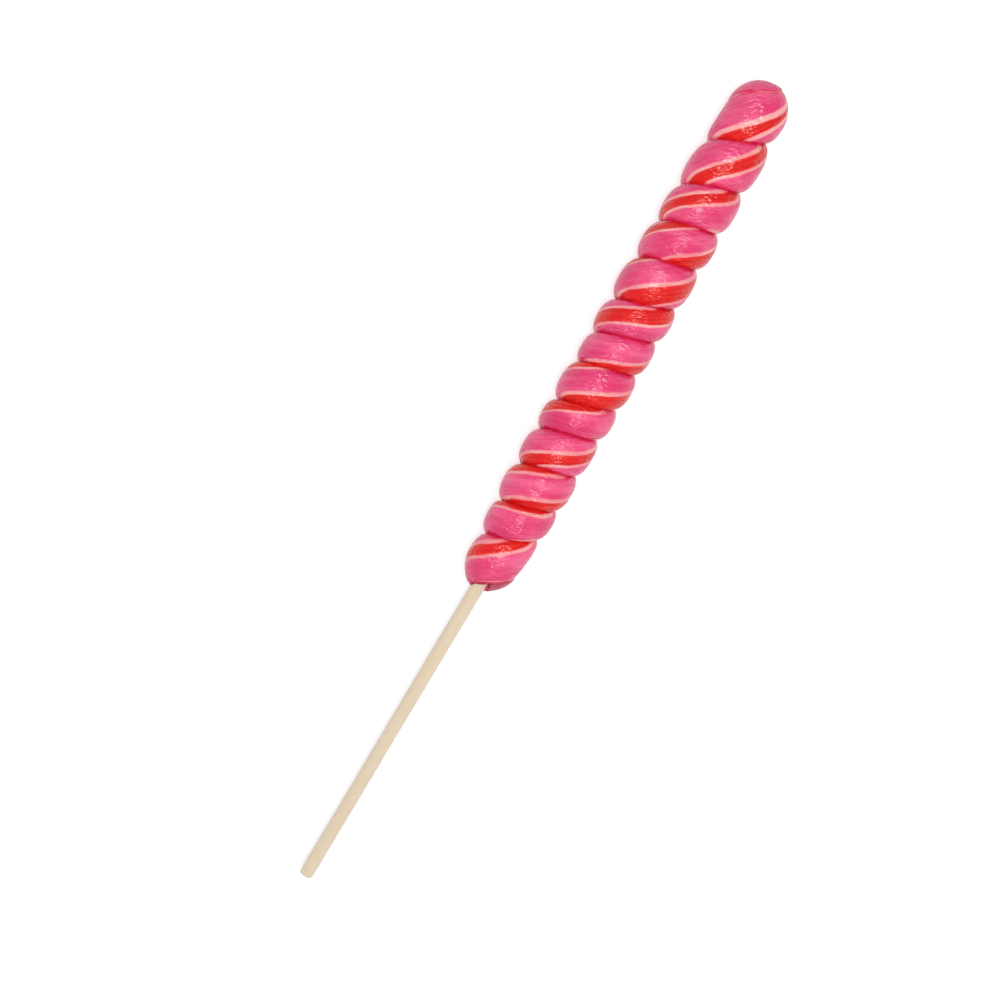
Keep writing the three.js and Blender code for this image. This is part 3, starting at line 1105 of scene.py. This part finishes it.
# %% The wood material
WOOD = (0.68, 0.56, 0.4)
WOOD_PALE = (0.76, 0.65, 0.5)
WOOD_ROSY = (0.76, 0.59, 0.47)
WOOD_FLECK = (0.55, 0.4, 0.24)
PATCHES = (60, 150)
WOOD_GRAIN = (110, 2600)
FLECKS = (450, 4200)
FLECKS_AT = (0.66, 0.8)
FLECK_STRENGTH = 0.5
BLOTCHES = (240, 330)
BLOTCHES_AT = (-0.1, 0.4)
BLOTCH_STRENGTH = 0.4
GRAIN_HEIGHT = 0.08 * MM
GRAIN_STRENGTH = 0.4
WOOD_ROUGHNESS = 0.62
WOOD_DULLNESS = 0.5


def make_wood():
    material = bpy.data.materials.new("stick_wood")
    material.use_nodes = True
    tree = material.node_tree
    shader = tree.nodes["Principled BSDF"]
    place = tree.nodes.new("ShaderNodeSeparateXYZ")
    tree.links.new(tree.nodes.new("ShaderNodeTexCoord").outputs["Object"], place.inputs[0])
    x, y, z = (Value(tree, socket) for socket in place.outputs)

    def streaks(size, detail):
        along, over = size
        return noise(tree, x * along, y * over, z * over, detail=detail)

    patches = streaks(PATCHES, 2.0) * 0.5 + 0.5
    grain = streaks(WOOD_GRAIN, 3.0) * 0.5 + 0.5
    flecks = streaks(FLECKS, 1.0) * 0.5 + 0.5
    blotches = streaks(BLOTCHES, 2.0)
    colour = blend_colours(tree, patches * 0.5 + grain * 0.5, WOOD, WOOD_PALE)
    rosy = smooth_step(blotches, *BLOTCHES_AT) * BLOTCH_STRENGTH
    colour = blend_colours(tree, rosy, colour, WOOD_ROSY)
    flecked = smooth_step(flecks, *FLECKS_AT) * FLECK_STRENGTH
    colour = blend_colours(tree, flecked, colour, WOOD_FLECK)
    tree.links.new(colour.socket, shader.inputs["Base Color"])
    settings = {"Strength": GRAIN_STRENGTH, "Distance": GRAIN_HEIGHT}
    bump = add_node(tree, "ShaderNodeBump", Height=grain, **settings)
    tree.links.new(bump.outputs[0], shader.inputs["Normal"])
    shader.inputs["Roughness"].default_value = WOOD_ROUGHNESS
    shader.inputs["Diffuse Roughness"].default_value = WOOD_DULLNESS
    return material


wood = make_wood()
stick.data.materials.append(wood)
print("wood material:", len(wood.node_tree.nodes), "nodes")

# %% [markdown]
# ## The floor
# The lollipop lies on a white table that glows a little, as a light table does. The glow
# keeps the ground evenly white and leaves only a trace of shadow.

# %% The floor
FLOOR_HALF = 3.0
FLOOR_GREY = 0.42
FLOOR_GLOW = 0.62
FLOOR_ROUGHNESS = 0.8
FLOOR_GLOSS = 0.2
WHITE = (1.0, 1.0, 1.0, 1.0)


def make_floor():
    mesh = bpy.data.meshes.new("floor")
    signs = [(-1, -1), (1, -1), (1, 1), (-1, 1)]
    corners = [(x * FLOOR_HALF, y * FLOOR_HALF, 0.0) for x, y in signs]
    mesh.from_pydata(corners, [], [(0, 1, 2, 3)])
    material = bpy.data.materials.new("white_table")
    material.use_nodes = True
    shader = material.node_tree.nodes["Principled BSDF"]
    shader.inputs["Base Color"].default_value = (FLOOR_GREY, FLOOR_GREY, FLOOR_GREY, 1.0)
    shader.inputs["Emission Color"].default_value = WHITE
    shader.inputs["Emission Strength"].default_value = FLOOR_GLOW
    shader.inputs["Roughness"].default_value = FLOOR_ROUGHNESS
    shader.inputs["Specular IOR Level"].default_value = FLOOR_GLOSS
    mesh.materials.append(material)
    return bpy.data.objects.new("floor", mesh)


floor = make_floor()
bpy.context.scene.collection.objects.link(floor)
print("the floor is", 2 * FLOOR_HALF, "m wide")

# %% [markdown]
# ## The camera
# The camera looks almost straight down, leaning a little towards the tip, and is turned so
# that the lollipop lies aslant. It stands more than half a metre away behind a long lens,
# so that the near end looks hardly larger than the far one.

# %% The camera
CAMERA_DISTANCE = 576 * MM
CAMERA_LENS = 64.8
CAMERA_TILT = math.radians(6.3)
PICTURE_TURN = math.radians(30.27)
LOOKED_AT = Vector((-8.02, 7.97, 10.75)) * MM


def make_camera():
    camera = bpy.data.objects.new("camera", bpy.data.cameras.new("camera"))
    camera.data.lens = CAMERA_LENS
    camera.data.clip_start = 0.01
    camera.data.clip_end = 20.0
    back = Vector((math.sin(CAMERA_TILT), 0, math.cos(CAMERA_TILT)))
    along = Vector((math.cos(CAMERA_TILT), 0, -math.sin(CAMERA_TILT)))
    across = Vector((0, -1, 0))
    right = along * math.sin(PICTURE_TURN) + across * math.cos(PICTURE_TURN)
    up = along * math.cos(PICTURE_TURN) - across * math.sin(PICTURE_TURN)
    turned = Matrix((right, up, back)).transposed().to_4x4()
    camera.matrix_world = Matrix.Translation(LOOKED_AT + back * CAMERA_DISTANCE) @ turned
    return camera


camera = make_camera()
bpy.context.scene.collection.objects.link(camera)
bpy.context.scene.camera = camera
print("the camera is", round(CAMERA_DISTANCE / MM), "mm away")

# %% [markdown]
# ## The lights
# The room is a dim even white. Two lights hang over the camera: a wide one whose soft
# sheen lies along the middle of every turn, and a small one that sparks the specks in it.
# A weak soft light on the right keeps that flank from going dull.

# %% The lights
ROOM_LIGHT = 0.28


def add_light(name, place, size, power):
    """A square soft light that faces the lollipop."""
    data = bpy.data.lights.new(name, "AREA")
    data.size = size
    data.energy = power
    light = bpy.data.objects.new(name, data)
    light.location = place
    light.rotation_euler = Vector(place).to_track_quat("Z", "Y").to_euler()
    bpy.context.scene.collection.objects.link(light)


add_light("soft_right", place=(0.15, -0.7, 0.8), size=0.7, power=0.3)
add_light("soft_top", place=(0.06, -0.05, 0.9), size=0.16, power=3.2)
add_light("wide_top", place=(0.06, -0.05, 0.95), size=0.55, power=4.2)

world = bpy.data.worlds.new("white_room")
world.use_nodes = True
background = world.node_tree.nodes["Background"]
background.inputs["Color"].default_value = WHITE
background.inputs["Strength"].default_value = ROOM_LIGHT
bpy.context.scene.world = world
bpy.context.scene.view_settings.view_transform = "Standard"
